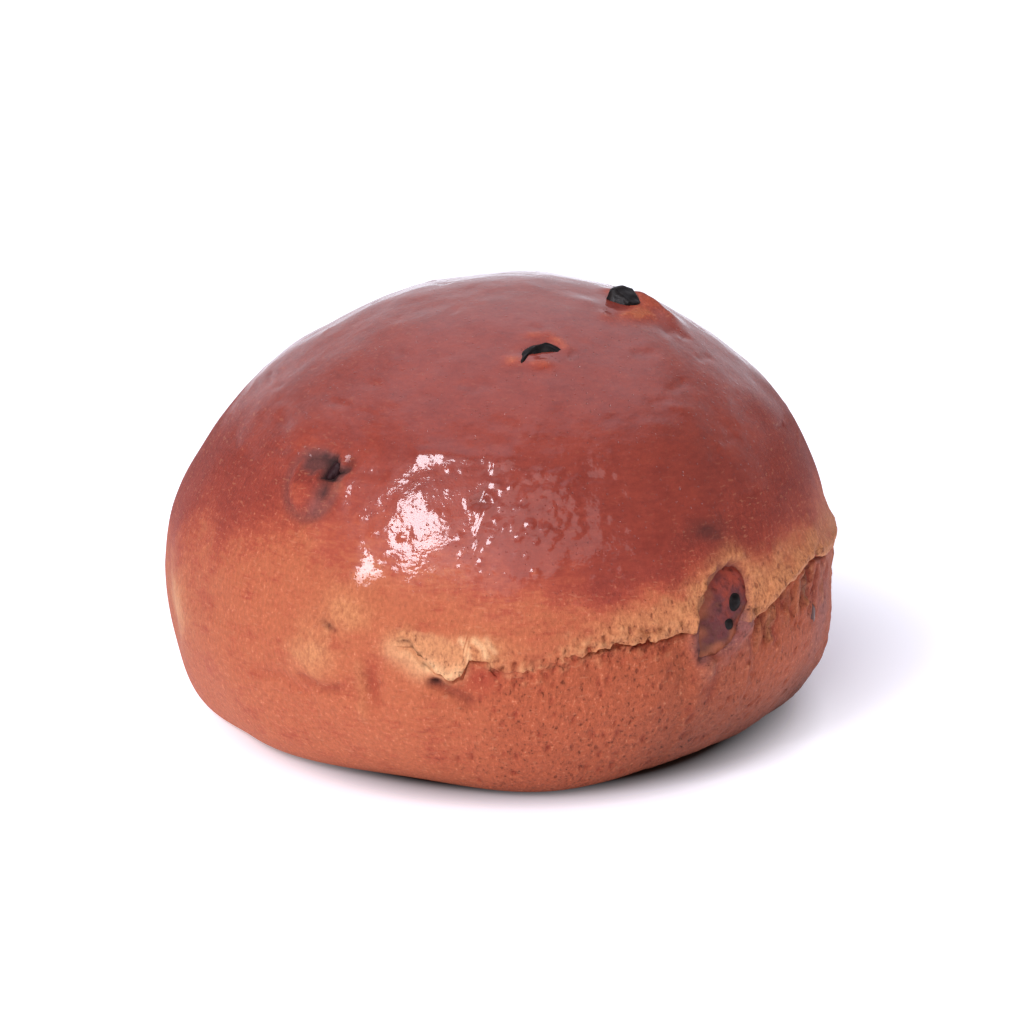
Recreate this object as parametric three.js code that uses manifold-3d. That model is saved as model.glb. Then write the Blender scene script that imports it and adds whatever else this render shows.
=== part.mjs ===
// A chocolate prune roll: one domed sweet bun, torn open along its side as it rose in the oven,
// with the chocolate and prune pieces that break through its crust.
// Millimetres, +Z up, the base centre at the origin, the torn side towards -Y.
import * as THREE from 'three';
import { mergeVertices } from 'three/addons/utils/BufferGeometryUtils.js';
import Module from 'manifold-3d';

const wasm = await Module();
wasm.setup();

// Driving dimensions: millimetres and degrees, azimuth 0 at +X and -90 at the shown side
const rollHeight = 64;
const waist = { radius: 47.8, height: 20.6, ovalShare: 0.037, ovalTurn: -10 };
const domeRoundness = { across: 1.92, up: 2.05 };
const domeLean = { reach: 3.1, from: 21 };
const wallRoundness = 1.9;

// Stations round the roll: azimuth, then the size there
const footRadius = [
  [-175, 41], [-150, 36.5], [-112, 32], [-80, 36.5], [-45, 32], [-24, 34], [-2, 40], [50, 43], [100, 41.5],
];
const tearHeight = [
  [-170, 21.0], [-130, 21.5], [-106, 24.0], [-99, 19.8], [-90, 20.7], [-77, 23.2], [-70, 24.3], [-62, 24.4],
  [-55, 25.4], [-43, 24.3], [-33, 27.2], [-26, 28.6], [-15, 27.4], [10, 26.0], [60, 25.0], [110, 24.0],
];
const tearDepth = [
  [-165, 0.0], [-125, 0.0], [-107, 0.5], [-97, 1.6], [-86, 1.2], [-75, 1.4], [-60, 2.0], [-47, 1.8],
  [-34, 2.6], [-22, 2.3], [-6, 1.7], [30, 1.6], [75, 1.4], [110, 0.8], [140, 0.0],
];
const lipFlare = [[-150, 0.0], [-100, 0.2], [-60, 0.6], [-12, 1.4], [40, 1.1], [90, 0.5], [150, 0.0]];

// The torn edge: the crust flares and rolls under, and the wall below it starts on a tucked-in ledge
const flareRise = 4.8;
const lip = { roll: 1.2, edgeIn: 0.25, wallIn: 0.4, ledgeIn: 0.35, ledgeDrop: 0.7, ledgeFade: 3, openAt: 1 };

// Swellings and dents of the crust: where they are, how far they rise, how wide they spread
const swellings = [
  { azimuth: -141, height: 47.5, rise: 0.9, spread: 6.0 },
  { azimuth: -132, height: 42.8, rise: 0.8, spread: 4.2 },
  { azimuth: -117.5, height: 28, rise: 0.9, spread: 4.6 },
  { azimuth: -123.5, height: 21.5, rise: 1.1, spread: 4.6 },
  { azimuth: -112.5, height: 17, rise: -0.7, spread: 2.6 },
  { azimuth: -170, height: 16.5, rise: -1.2, spread: 7.0 },
  { azimuth: -6, height: 9, rise: 1.0, spread: 6.0 },
  { azimuth: -3, height: 60.9, rise: 1.2, spread: 2.8 },
  { azimuth: -11, height: 59.2, rise: 0.7, spread: 3.0 },
  { azimuth: 128, height: 36, rise: 1.0, spread: 6.5 },
];
const crustWave = { height: 0.28, lengths: [9.1, 7.3, 8.2] };
const coreHeight = 22;

// How finely the bun is divided, with the closest columns at the torn side
const columns = 112;
const rings = { dome: 20, wall: 9 };
const ringCrowding = { dome: 1.25, wall: 1.6 };
const columnCrowding = { share: 0.25, away: 120 };

// Chocolate and prune pieces: size across the crust, up it and through it, how far they stand out
// and how square they are; bits are set in a piece's own face, across and up from its middle
const pocketGap = 0.3;
const fineness = { piece: 2, bit: 1 };
const pieces = [
  { name: 'chocolate_chunk_top', azimuth: -9, height: 61.7, size: [5.6, 5.8, 4.8], proud: 1.8, power: 0.7 },
  { name: 'chocolate_sliver_top', azimuth: -83, height: 59, size: [7.6, 3.4, 3.4], proud: 0.5, roll: 18 },
  { name: 'prune_piece_left', azimuth: -130, height: 45.6, size: [4.2, 5.2, 3.2], proud: 0.3, roll: -25 },
  {
    name: 'prune_piece_right', azimuth: -49, height: 26, size: [9, 15, 6.4], proud: 0.5, roll: -34,
    bits: [
      { name: 'chocolate_bit_upper', across: 1.8, up: 1.1, size: [2.4, 3.2, 2.4], proud: 0.1, roll: -12 },
      { name: 'chocolate_bit_lower', across: 0.2, up: -1.6, size: [1.8, 2.0, 2.0], proud: 0.1, roll: -14 },
    ],
  },
  { name: 'chocolate_bit_side', azimuth: -21.5, height: 19.2, size: [3, 4, 2.4], proud: 0.4 },
  { name: 'chocolate_chunk_back', azimuth: 62, height: 52, size: [5.4, 4.6, 4.2], proud: 1.8, power: 0.7 },
  { name: 'prune_piece_back', azimuth: 128, height: 37, size: [5.0, 6.4, 3.6], proud: 0.5, roll: 20 },
];
const roundedPower = 0.88;
const unevenness = { share: 0.05, waves: [5, 3, 4] };

const crustMaterial = new THREE.MeshStandardMaterial({ color: 0xa35435, roughness: 0.42, metalness: 0 });
const chocolateMaterial = new THREE.MeshStandardMaterial({ color: 0x1d1513, roughness: 0.5, metalness: 0 });
const pruneMaterial = new THREE.MeshStandardMaterial({ color: 0x5e332c, roughness: 0.45, metalness: 0 });

const { clamp, degToRad, euclideanModulo, lerp, radToDeg, smoothstep } = THREE.MathUtils;

// A size read round the roll, eased from one station to the next
function around(stations, azimuth) {
  const first = stations[0][0];
  const turn = euclideanModulo(azimuth - first, 360);
  const index = stations.findLastIndex(([at]) => at - first <= turn);
  const next = (index + 1) % stations.length;
  const start = stations[index][0] - first;
  const end = next === 0 ? 360 : stations[next][0] - first;
  return lerp(stations[index][1], stations[next][1], smoothstep(turn, start, end));
}

// Every size of the roll's section at one azimuth
function sectionAt(azimuth) {
  const oval = waist.ovalShare * Math.cos(2 * degToRad(azimuth - waist.ovalTurn));
  const depth = around(tearDepth, azimuth);
  const edge = around(tearHeight, azimuth);
  return {
    azimuth,
    depth,
    edge,
    widest: waist.radius * (1 + oval),
    foot: around(footRadius, azimuth),
    flare: around(lipFlare, azimuth),
    lipTop: edge + lip.roll,
    wallTop: edge - lip.ledgeDrop,
    open: Math.min(1, depth / lip.openAt),
  };
}

// The crust above the tear: a dome that flares towards its torn edge
function domeRadius(section, height) {
  const share = clamp((height - waist.height) / (rollHeight - waist.height), 0, 1);
  const dome = (1 - share ** domeRoundness.up) ** (1 / domeRoundness.across);
  const nearEdge = clamp(1 - (height - section.lipTop) / flareRise, 0, 1);
  return (section.widest - section.flare) * dome + section.flare * nearEdge ** 2;
}

// The wall below the tear: it bulges from the foot and tucks in under the lip
function wallRadius(section, height) {
  const share = clamp(height / waist.height, 0, 1);
  const bulge = (1 - (1 - share) ** wallRoundness) ** (1 / wallRoundness);
  const wall = section.widest - lip.wallIn * section.depth;
  const tuck = lip.ledgeIn * section.depth * Math.exp((height - section.wallTop) / lip.ledgeFade);
  return section.foot + (wall - section.foot) * bulge - tuck;
}

// A point of the plain form, which leans a little to one side towards the top
function placed(section, radius, height) {
  const lean = domeLean.reach * Math.max(0, (height - domeLean.from) / (rollHeight - domeLean.from));
  const turn = degToRad(section.azimuth);
  return new THREE.Vector3(radius * Math.cos(turn) + lean, radius * Math.sin(turn), height);
}

function plainPoint(azimuth, height) {
  const section = sectionAt(azimuth);
  const radius = height >= section.edge ? domeRadius(section, height) : wallRadius(section, height);
  return placed(section, radius, height);
}

const bumps = swellings.map((swelling) => ({
  ...swelling,
  centre: plainPoint(swelling.azimuth, swelling.height),
}));

// How far the crust stands out from the plain form at a point
function reliefAt(point) {
  let relief = 0;
  crustWave.lengths.forEach((length, axis) => {
    const phase = (Math.PI * point.getComponent(axis)) / length + axis;
    relief += (crustWave.height * Math.sin(phase)) / crustWave.lengths.length;
  });
  for (const { centre, rise, spread } of bumps) {
    relief += rise * Math.exp(-((point.distanceTo(centre) / spread) ** 2));
  }
  return relief;
}

function withRelief(point) {
  const outwards = point.clone().sub(new THREE.Vector3(0, 0, coreHeight)).normalize();
  const fade = smoothstep(point.z, 0, coreHeight / 2);
  return point.addScaledVector(outwards, fade * reliefAt(point));
}

// The section's points from the apex down the dome, under the torn lip, down the wall to the foot
function sectionPoints(azimuth) {
  const section = sectionAt(azimuth);
  const points = [];
  for (let ring = 0; ring <= rings.dome; ring += 1) {
    const angle = (Math.PI / 2) * (1 - (1 - ring / rings.dome) ** ringCrowding.dome);
    const rise = Math.cos(angle) ** (2 / domeRoundness.up);
    const height = lerp(section.lipTop, rollHeight, rise);
    points.push(placed(section, domeRadius(section, height), height));
  }
  const edgeRadius = domeRadius(section, section.edge);
  const under = section.edge + lerp(-lip.ledgeDrop / 2, lip.edgeIn, section.open);
  points.push(placed(section, edgeRadius - lip.edgeIn * section.depth, section.edge));
  points.push(placed(section, edgeRadius - section.depth, under));
  for (let ring = 0; ring <= rings.wall; ring += 1) {
    const height = section.wallTop * (1 - ring / rings.wall) ** ringCrowding.wall;
    points.push(placed(section, wallRadius(section, height), height));
  }
  return points.map(withRelief);
}

// The bun starts as a sphere, and each of its columns takes the section at its azimuth
function makeBun() {
  const ringCount = rings.dome + rings.wall + 4;
  const bun = new THREE.SphereGeometry(1, columns, ringCount);
  const baseCentre = new THREE.Vector3();
  for (let column = 0; column <= columns; column += 1) {
    const even = (360 * column) / columns;
    const crowding = columnCrowding.share * Math.sin(degToRad(even - columnCrowding.away));
    const points = [...sectionPoints(even + radToDeg(crowding)), baseCentre];
    points.forEach((point, ring) => {
      bun.attributes.position.setXYZ(ring * (columns + 1) + column, point.x, point.y, point.z);
    });
  }
  return bun;
}

// Across, up and out on the crust where a piece lies, and the place itself
function crustFrame({ azimuth, height, size }) {
  const reach = size[1] / 2;
  const above = plainPoint(azimuth, Math.min(height + reach, rollHeight));
  const below = plainPoint(azimuth, height - reach);
  const across = plainPoint(azimuth + 1, height).sub(plainPoint(azimuth - 1, height)).normalize();
  const out = new THREE.Vector3().crossVectors(across, above.sub(below)).normalize();
  const up = new THREE.Vector3().crossVectors(out, across);
  const place = withRelief(plainPoint(azimuth, height));
  return new THREE.Matrix4().makeBasis(across, up, out).setPosition(place);
}

// A rounded lump, a little uneven: the lower its power, the squarer its corners
function makeLump({ size, power = roundedPower, roll = 0 }, gap, detail) {
  const lump = new THREE.IcosahedronGeometry(1, detail);
  const position = lump.attributes.position;
  const point = new THREE.Vector3();
  for (let index = 0; index < position.count; index += 1) {
    point.fromBufferAttribute(position, index);
    const [alongX, alongY, alongZ] = unevenness.waves;
    const wave = Math.sin(alongX * point.x + alongY * point.y) * Math.cos(alongZ * point.z + size[0]);
    const uneven = 1 + unevenness.share * wave;
    for (let axis = 0; axis < 3; axis += 1) {
      const value = point.getComponent(axis);
      const squared = Math.sign(value) * Math.abs(value) ** power;
      point.setComponent(axis, uneven * squared * (size[axis] / 2 + gap));
    }
    position.setXYZ(index, point.x, point.y, point.z);
  }
  return lump.rotateZ(degToRad(roll));
}

function placeLump(piece, frame, depth, gap, detail) {
  const lump = makeLump(piece, gap, detail);
  lump.translate(piece.across ?? 0, piece.up ?? 0, depth);
  return toSolid(lump.applyMatrix4(frame));
}

function toSolid(geometry) {
  geometry.deleteAttribute('normal');
  geometry.deleteAttribute('uv');
  const merged = mergeVertices(geometry);
  const corners = Array.from(merged.index.array);
  const triangles = [];
  for (let start = 0; start < corners.length; start += 3) {
    const [a, b, c] = corners.slice(start, start + 3);
    if (a !== b && b !== c && c !== a) triangles.push(a, b, c);
  }
  const vertProperties = new Float32Array(merged.attributes.position.array);
  const triVerts = new Uint32Array(triangles);
  return new wasm.Manifold(new wasm.Mesh({ numProp: 3, vertProperties, triVerts }));
}

function toMesh(name, solid, material) {
  const { vertProperties, triVerts } = solid.getMesh();
  const geometry = new THREE.BufferGeometry();
  geometry.setAttribute('position', new THREE.BufferAttribute(new Float32Array(vertProperties), 3));
  geometry.setIndex(new THREE.BufferAttribute(new Uint32Array(triVerts), 1));
  geometry.computeVertexNormals();
  const mesh = new THREE.Mesh(geometry, material);
  mesh.name = name;
  return mesh;
}

const roll = new THREE.Group();
let bun = toSolid(makeBun());

for (const piece of pieces) {
  const frame = crustFrame(piece);
  const depth = piece.proud - piece.size[2] / 2;
  let solid = placeLump(piece, frame, depth, 0, fineness.piece);
  bun = bun.subtract(placeLump(piece, frame, depth, pocketGap, fineness.piece));
  for (const bit of piece.bits ?? []) {
    const bitDepth = piece.proud + bit.proud - bit.size[2] / 2;
    solid = solid.subtract(placeLump(bit, frame, bitDepth, pocketGap, fineness.bit));
    roll.add(toMesh(bit.name, placeLump(bit, frame, bitDepth, 0, fineness.bit), chocolateMaterial));
  }
  roll.add(toMesh(piece.name, solid, piece.name.startsWith('prune') ? pruneMaterial : chocolateMaterial));
}
roll.add(toMesh('bun', bun, crustMaterial));

export default roll;
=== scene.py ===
import math

import bmesh
import bpy
import numpy as np
from mathutils import Matrix, Vector, noise


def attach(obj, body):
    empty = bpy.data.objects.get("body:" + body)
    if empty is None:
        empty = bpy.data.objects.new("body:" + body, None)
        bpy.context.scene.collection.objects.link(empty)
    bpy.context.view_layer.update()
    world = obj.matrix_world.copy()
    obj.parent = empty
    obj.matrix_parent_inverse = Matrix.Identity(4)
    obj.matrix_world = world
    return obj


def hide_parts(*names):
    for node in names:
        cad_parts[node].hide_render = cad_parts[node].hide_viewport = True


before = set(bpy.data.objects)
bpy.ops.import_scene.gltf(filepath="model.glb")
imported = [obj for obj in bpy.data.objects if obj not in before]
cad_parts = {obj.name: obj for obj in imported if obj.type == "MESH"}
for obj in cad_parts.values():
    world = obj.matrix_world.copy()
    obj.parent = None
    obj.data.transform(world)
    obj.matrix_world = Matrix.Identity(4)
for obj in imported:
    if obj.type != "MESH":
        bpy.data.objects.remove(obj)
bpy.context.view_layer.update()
mm = 0.001  # sizes are in millimetres and degrees; azimuth 0 is +X and -90 the torn front
print("frame loaded:", ", ".join(sorted(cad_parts)))


def ease(share):
    share = np.clip(share, 0, 1)
    return share * share * (3 - 2 * share)


def mixed(start, end, share):
    return start + (end - start) * share


def around(stations, azimuth):  # a size read round the roll, eased from one station to the next
    at = np.array([station[0] for station in stations], float)
    size = np.array([station[1] for station in stations], float)
    turn = (np.asarray(azimuth, float) - at[0]) % 360
    ends = np.append(at - at[0], 360)
    index = np.clip(np.searchsorted(ends, turn, side="right") - 1, 0, len(at) - 1)
    share = ease((turn - ends[index]) / (ends[index + 1] - ends[index]))
    return mixed(size[index], size[(index + 1) % len(at)], share)


def noiseAt(points, size, stretch=(1, 1, 1), seed=0):  # smooth noise from -1 to 1, size in millimetres
    places = points / (size * np.array(stretch, float)) + seed
    return np.array([noise.noise(place) for place in places.tolist()])


# The roll's form, as in the solids but with a finer tear; the lists give an azimuth and a size
bunForm = {
    "height": 64,
    "waistRadius": 47.8,
    "waistHeight": 20.6,
    "ovalShare": 0.037,
    "ovalTurn": -10,
    "domeAcross": 1.92,
    "domeUp": 2.05,
    "leanReach": 3.1,
    "leanFrom": 21,
    "wallRound": 1.9,
    "flareRise": 4.8,
    "lipRoll": 1.2,
    "wallIn": 0.4,
    "ledgeIn": 0.35,
    "ledgeDrop": 0.7,
    "ledgeFade": 3,
    "coreHeight": 22,
    "waveHeight": 0.28,
    "waveLengths": (9.1, 7.3, 8.2),
    "swellingsFrom": 11,  # swellings and waves fade out below this height
    "foot": [
        (-175, 41), (-150, 36.5), (-112, 32), (-80, 36.5), (-45, 32), (-24, 34), (-2, 40), (50, 43),
        (100, 41.5),
    ],
    "tear": [
        (-170, 21.0), (-130, 21.5), (-106, 24.3), (-103.5, 22.6), (-100, 20.9), (-98.5, 19.6),
        (-96.6, 20.3), (-95.2, 22.9), (-92.5, 22.6), (-90, 21.0), (-84, 21.6), (-77, 23.2), (-70, 24.3),
        (-62, 24.4), (-55, 25.4), (-43, 24.3), (-33, 27.2), (-26, 28.6), (-15, 27.4), (10, 26.0),
        (60, 25.0), (110, 24.0),
    ],
    "depth": [
        (-165, 0.0), (-109, 0.0), (-105, 0.4), (-97, 0.9), (-92, 0.4), (-88, 0.15), (-79, 0.15),
        (-73, 1.0), (-66, 1.6), (-57, 2.0), (-55, 0.0), (-43.6, 0.0), (-42, 2.0), (-34, 2.6), (-22, 2.3),
        (-6, 1.7), (30, 1.6), (75, 1.4), (110, 0.8), (140, 0.0),
    ],
    "ragged": [
        (-112, 0.3), (-98, 1.6), (-75, 1.0), (-60, 0.8), (-50, 0.3), (-20, 0.3), (30, 1.0), (110, 0.9),
    ],
    "flare": [(-150, 0.0), (-100, 0.2), (-60, 0.6), (-12, 1.4), (40, 1.1), (90, 0.5), (150, 0.0)],
}

# Swellings and dents of the crust: azimuth, height, rise, spread
swellings = [
    (-141, 47.5, 0.9, 6.0),
    (-132, 42.8, 0.8, 4.2),
    (-117.5, 28, 0.9, 4.6),
    (-123.5, 21.5, 1.1, 4.6),
    (-112.5, 17, -0.7, 2.6),
    (-170, 16.5, -1.2, 7.0),
    (-6, 9, 1.0, 6.0),
    (-3, 60.9, 1.2, 2.8),
    (-11, 59.2, 0.7, 3.0),
    (128, 36, 1.0, 6.5),
]


def sectionAt(azimuth):
    form = bunForm
    oval = form["ovalShare"] * np.cos(2 * np.radians(azimuth - form["ovalTurn"]))
    section = {name: around(form[name], azimuth) for name in ("foot", "tear", "depth", "ragged", "flare")}
    section["azimuth"] = np.asarray(azimuth, float)
    section["widest"] = form["waistRadius"] * (1 + oval)
    section["open"] = np.clip(section["depth"], 0, 1)  # the lip is fully lifted from a depth of 1 on
    return section


def domeRadius(section, height):
    form = bunForm
    share = np.clip((height - form["waistHeight"]) / (form["height"] - form["waistHeight"]), 0, 1)
    dome = (1 - share ** form["domeUp"]) ** (1 / form["domeAcross"])
    nearEdge = np.clip(1 - (height - section["tear"] - form["lipRoll"]) / form["flareRise"], 0, 1)
    return (section["widest"] - section["flare"]) * dome + section["flare"] * nearEdge ** 2


def wallRadius(section, height):
    form = bunForm
    share = np.clip(height / form["waistHeight"], 0, 1)
    bulge = (1 - (1 - share) ** form["wallRound"]) ** (1 / form["wallRound"])
    wall = section["widest"] - form["wallIn"] * section["depth"]
    below = height - section["tear"] + form["ledgeDrop"]
    tuck = form["ledgeIn"] * section["depth"] * np.exp(np.minimum(below, 0) / form["ledgeFade"])
    return section["foot"] + (wall - section["foot"]) * bulge - tuck


def placed(section, radius, height):
    form = bunForm
    leanShare = np.maximum(0, (height - form["leanFrom"]) / (form["height"] - form["leanFrom"]))
    lean = form["leanReach"] * leanShare
    turn = np.radians(section["azimuth"])
    x, y, z = np.broadcast_arrays(radius * np.cos(turn) + lean, radius * np.sin(turn), height)
    return np.stack([x, y, z], axis=-1)


def plainPoint(azimuth, height):
    section = sectionAt(azimuth)
    radius = np.where(height >= section["tear"], domeRadius(section, height), wallRadius(section, height))
    return placed(section, radius, height)


def bell(away, spread):
    return np.exp(-((away / spread) ** 2))


swellingBells = [(plainPoint(azimuth, height), rise, spread) for azimuth, height, rise, spread in swellings]


def withSwellings(points):
    form = bunForm
    relief = np.zeros(points.shape[:-1])
    for axis, length in enumerate(form["waveLengths"]):
        wave = np.sin(math.pi * points[..., axis] / length + axis)
        relief += form["waveHeight"] * wave / len(form["waveLengths"])
    for centre, rise, spread in swellingBells:
        relief += rise * bell(np.linalg.norm(points - centre, axis=-1), spread)
    outwards = points - np.array([0, 0, form["coreHeight"]])
    outwards /= np.linalg.norm(outwards, axis=-1, keepdims=True)
    fade = ease(points[..., 2] / form["swellingsFrom"])
    return points + outwards * (fade * relief)[..., None]


def crustFrame(azimuth, height, reach=1.5, turn=1):  # across, up and out on the crust, and the place itself
    above = plainPoint(azimuth, min(height + reach, bunForm["height"]))
    below = plainPoint(azimuth, height - reach)
    across = plainPoint(azimuth + turn, height) - plainPoint(azimuth - turn, height)
    across /= np.linalg.norm(across)
    out = np.cross(across, above - below)
    out /= np.linalg.norm(out)
    return across, np.cross(out, across), out, withSwellings(plainPoint(azimuth, height))


# The bun's mesh: rows from the apex down the dome, round the torn lip, down the wall and across the base
bunMesh = {
    "columns": 400,
    "domeRows": 146,
    "lipRows": 14,
    "wallRows": 66,
    "baseRows": 10,
    "domeCrowding": 1.35,
    "wallCrowding": 1.25,
    "frontCrowding": 0.6,  # closest columns at the front
    "front": -82,
    "mergeWithin": 1e-7,  # in Blender's metres
}

# The torn lip: the teeth of its edge (rise, size, seed), and the corners of its overhang
tornLip = {
    "rim": 47,
    "teeth": [(0.4, 2.6, 0), (0.3, 1.2, 5), (0.2, 0.6, 9)],
    "edgeRise": 0.1,
    "underIn": 0.4,
    "underDrop": 0.25,
    "pocketIn": 0.5,
    "pocketRise": (-0.3, 0.6),  # where the lip lies on the wall, and where it is lifted
    "ledgeIn": 0.3,
    "ledgeRise": 0.3,
}


def columnAzimuths():
    even = np.arange(bunMesh["columns"]) * 360 / bunMesh["columns"]
    sway = np.sin(np.radians(even - bunMesh["front"] + 180))
    return even + np.degrees(bunMesh["frontCrowding"]) * sway


def alongCurve(corners, share):  # a smooth line led by its corners
    pieces = len(corners) - 2
    index = min(int(share * pieces), pieces - 1)
    part = share * pieces - index
    start = corners[0] if index == 0 else (corners[index] + corners[index + 1]) / 2
    end = corners[-1] if index == pieces - 1 else (corners[index + 1] + corners[index + 2]) / 2
    return mixed(mixed(start, corners[index + 1], part), mixed(corners[index + 1], end, part), part)


def lipTeeth(azimuth):
    turn = np.radians(azimuth)
    rim = np.stack([np.cos(turn), np.sin(turn), 0 * azimuth], axis=-1) * tornLip["rim"]
    return sum(rise * noiseAt(rim, size, seed=seed) for rise, size, seed in tornLip["teeth"])


def lipCorners(section, lipTop, wallTop):  # from the dome, round the overhang and on to the wall
    lip, tear, depth, opening = tornLip, section["tear"], section["depth"], section["open"]
    edge = domeRadius(section, tear)
    corners = [
        (domeRadius(section, lipTop), lipTop),
        (edge, tear + lip["edgeRise"]),
        (edge - lip["underIn"] * depth, tear - lip["underDrop"] * opening),
        (edge - depth - lip["pocketIn"] * opening, tear + mixed(*lip["pocketRise"], opening)),
        (edge - depth - lip["ledgeIn"] * opening, wallTop + lip["ledgeRise"]),
        (wallRadius(section, wallTop), wallTop),
    ]
    return [placed(section, radius, height) for radius, height in corners]


def bunGrid(azimuth):
    form, rows = bunForm, []
    section = sectionAt(azimuth)
    section["tear"] = section["tear"] + lipTeeth(azimuth) * section["ragged"] * section["open"]
    lipTop = section["tear"] + form["lipRoll"]
    wallTop = section["tear"] - form["ledgeDrop"]
    for row in range(bunMesh["domeRows"] + 1):
        angle = math.pi / 2 * (1 - (1 - row / bunMesh["domeRows"]) ** bunMesh["domeCrowding"])
        height = mixed(lipTop, form["height"], max(math.cos(angle), 0) ** (2 / form["domeUp"]))
        rows.append(placed(section, domeRadius(section, height), height))
    corners = lipCorners(section, lipTop, wallTop)
    for row in range(1, bunMesh["lipRows"] + 1):
        rows.append(alongCurve(corners, row / (bunMesh["lipRows"] + 1)))
    for row in range(bunMesh["wallRows"] + 1):
        height = wallTop * (1 - row / bunMesh["wallRows"]) ** bunMesh["wallCrowding"]
        rows.append(placed(section, wallRadius(section, height), height))
    for row in range(1, bunMesh["baseRows"] + 2):
        rows.append(placed(section, section["foot"] * (1 - row / (bunMesh["baseRows"] + 1)), 0 * azimuth))
    return withSwellings(np.stack(rows))


def gridNormals(grid, tiny=1e-9):
    aroundRow = np.roll(grid, -1, axis=1) - np.roll(grid, 1, axis=1)
    downColumn = np.gradient(grid, axis=0)
    normals = np.cross(downColumn, aroundRow)
    normals[0], normals[-1] = (0, 0, 1), (0, 0, -1)
    return normals / np.maximum(np.linalg.norm(normals, axis=-1, keepdims=True), tiny)


columnAzimuth = columnAzimuths()
grid = bunGrid(columnAzimuth)
lipRow = bunMesh["domeRows"] + bunMesh["lipRows"] // 3  # the torn edge itself
steps = np.linalg.norm(np.diff(grid, axis=0), axis=-1)
downLength = np.concatenate([np.zeros((1, bunMesh["columns"])), np.cumsum(steps, axis=0)])
fromTear = (downLength[lipRow] - downLength).ravel()  # along the crust, up from the torn edge
spots = grid.reshape(-1, 3)
azimuths = np.broadcast_to(columnAzimuth, grid.shape[:2]).ravel()
heights = spots[:, 2]
onWall = (fromTear < 0).astype(float)
onDome = 1 - onWall
print("bun form:", grid.shape[0], "rows of", grid.shape[1])


# 0 at the middle of an oval on the crust, 1 on its rim or at its reach through the crust
def ovalAway(places, middle, size, turn=0, leaf=False, through=8):
    across, up, out, centre = crustFrame(*middle)
    offset = places - centre
    a, u = offset @ across, offset @ up
    c, s = math.cos(math.radians(turn)), math.sin(math.radians(turn))
    wide, tall = 2 * (a * c + u * s) / size[0], 2 * (u * c - a * s) / size[1]
    away = np.sqrt(wide ** 2 + tall ** 2 + (offset @ out / through) ** 2)
    if leaf:  # pointed at its lower end, between two parabolas
        away = np.where(tall < 0, (np.abs(wide) + np.sqrt(wide ** 2 + 4 * tall ** 2)) / 2, away)
    return away


def pathAway(places, corners):  # millimetres from a line drawn on the crust
    away = np.full(len(places), np.inf)
    for start, end in zip(corners, corners[1:]):
        line = end - start
        share = np.clip((places - start) @ line / (line @ line), 0, 1)
        away = np.minimum(away, np.linalg.norm(places - start - share[:, None] * line, axis=-1))
    return away


# Grain of the crust: size and seed of each noise, and the relief it gives
crustGrain = {
    "coarse": {"size": 6.5, "seed": 0},
    "medium": {"size": 2.8, "seed": 11},
    "fine": {"size": 1.15, "seed": 23},
    "domeRise": 0.16,
    "glazeRise": 0.08,
    "poreRise": (0.12, 0.15),  # by the medium and by the fine noise
    "paleRise": 0.15,
    "riseFrom": 3,  # relief fades out below this height
}
# Masks that colour the crust: where they start, over what height, and their sway by the grain, coarse first
crustBake = {
    "from": [
        (-175, 21), (-150, 25), (-125, 29), (-105, 28), (-90, 27), (-70, 28.5), (-50, 30), (-20, 31.5),
        (40, 30), (120, 25),
    ],
    "over": [
        (-175, 18), (-150, 20), (-125, 24), (-105, 20), (-85, 14), (-65, 6), (-40, 6), (0, 8), (60, 14),
        (130, 18),
    ],
    "sway": (2, 1.2),
}
paleBand = {
    "width": [(-150, 2), (-100, 3), (-80, 3.5), (-70, 5), (-40, 6), (-20, 4), (40, 4), (120, 3)],
    "strength": [
        (-112, 0), (-106, 0.8), (-94, 0.9), (-90, 0.3), (-82, 0.12), (-77, 0.5), (-68, 0.8), (-57, 0.9),
        (-45, 1), (-25, 1), (-10, 0.9), (40, 0.6), (100, 0.4), (130, 0),
    ],
    "sway": (0.3, 0.45, 0.3),
    "atTear": 1.5,
    "fadeRate": 1.1,
}
tornWall = {
    "strength": [(-175, 0), (-108, 0), (-98, 0.3), (-86, 1), (110, 1), (150, 0)],
    "lowShade": [
        (-175, 0), (-110, 0), (-75, 0.12), (-50, 0.45), (-25, 0.65), (40, 0.6), (90, 0.4), (150, 0.1),
    ],
    "shadeBelow": 17,
    "shadeOver": 15,
    "sway": 2,
}
glaze = {
    "from": [
        (-178, 43), (-152, 42), (-136, 38), (-122, 30), (-100, 27), (-70, 28), (-55, 33), (-40, 38),
        (-20, 44), (10, 45), (40, 42), (120, 41),
    ],
    "over": 8,
    "sway": 3,
    "share": [
        (-178, 0.75), (-150, 0.85), (-120, 1), (-40, 1), (-10, 0.85), (30, 0.65), (110, 0.5), (160, 0.6),
    ],
    "crownFrom": 58,  # full glaze at the crown
    "crownOver": 5,
}
coarse = noiseAt(spots, **crustGrain["coarse"])
medium = noiseAt(spots, **crustGrain["medium"])
fine = noiseAt(spots, **crustGrain["fine"])
sway = paleBand["sway"]
band = around(paleBand["width"], azimuths) * (1 + sway[0] * coarse + sway[1] * medium + sway[2] * fine)
paleFade = ease(paleBand["atTear"] - paleBand["fadeRate"] * fromTear / band)
sway = crustBake["sway"]
bakeHeight = heights + sway[0] * coarse + sway[1] * medium - around(crustBake["from"], azimuths)
shadeDepth = tornWall["shadeBelow"] + tornWall["sway"] * coarse - heights
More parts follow.
